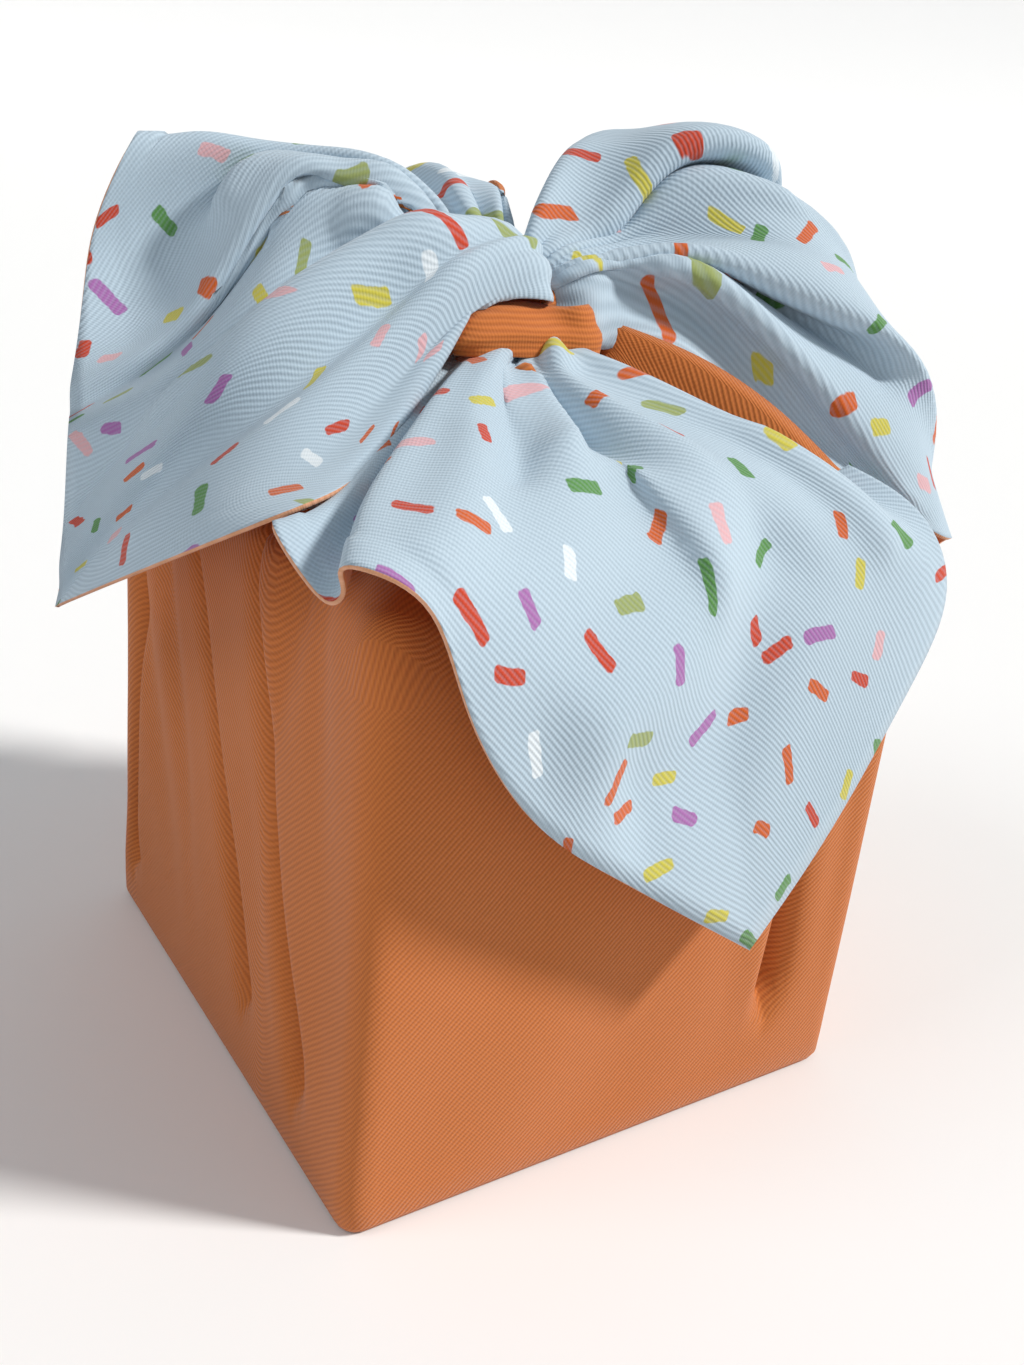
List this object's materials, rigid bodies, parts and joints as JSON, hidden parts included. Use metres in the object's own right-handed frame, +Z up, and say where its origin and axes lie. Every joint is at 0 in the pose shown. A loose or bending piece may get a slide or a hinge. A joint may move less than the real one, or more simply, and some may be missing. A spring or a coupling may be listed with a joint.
{
  "type": "furoshiki wrapping cloth",
  "caption": "Square wrapping cloth tied round a box, hollow inside, with flat base, soft wall folds, a knot on top and four loose tails",
  "frame": {"origin": "middle of the flat base, on the surface it stands on", "axes": "+Z up, the front face with the front tail towards -Y, the left face towards -X"},
  "size_m": [0.1442, 0.1389, 0.1615],
  "materials": {
    "cloth": "matt fine-ribbed weave, terracotta orange outside and pale blue with a confetti print inside"
  },
  "bodies": {
    "root": {"furoshiki": "cloth"}
  },
  "joints": []
}
